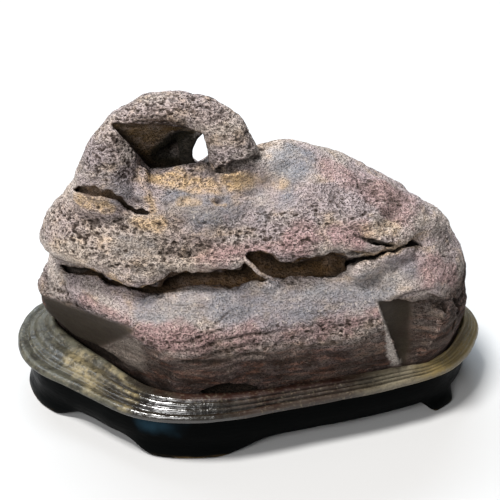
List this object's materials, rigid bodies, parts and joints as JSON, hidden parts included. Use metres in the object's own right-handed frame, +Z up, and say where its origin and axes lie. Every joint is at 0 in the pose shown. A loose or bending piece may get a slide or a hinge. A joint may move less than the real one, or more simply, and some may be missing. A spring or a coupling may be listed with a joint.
{
  "type": "scholars rock",
  "caption": "Weathered viewing stone with a natural arch, standing in a dark lacquered wooden base carved to fit its outline, on low feet.",
  "frame": {"origin": "on the ground under the middle of the wooden base's outline", "axes": "+X to the right along the stone's length, seen from its front; +Y towards its back; +Z up"},
  "size_m": [0.3014, 0.1804, 0.2005],
  "materials": {
    "stone": "matte",
    "lacquered_wood": "gloss"
  },
  "bodies": {
    "root": {"stone": "stone", "base": "lacquered_wood"}
  },
  "joints": []
}
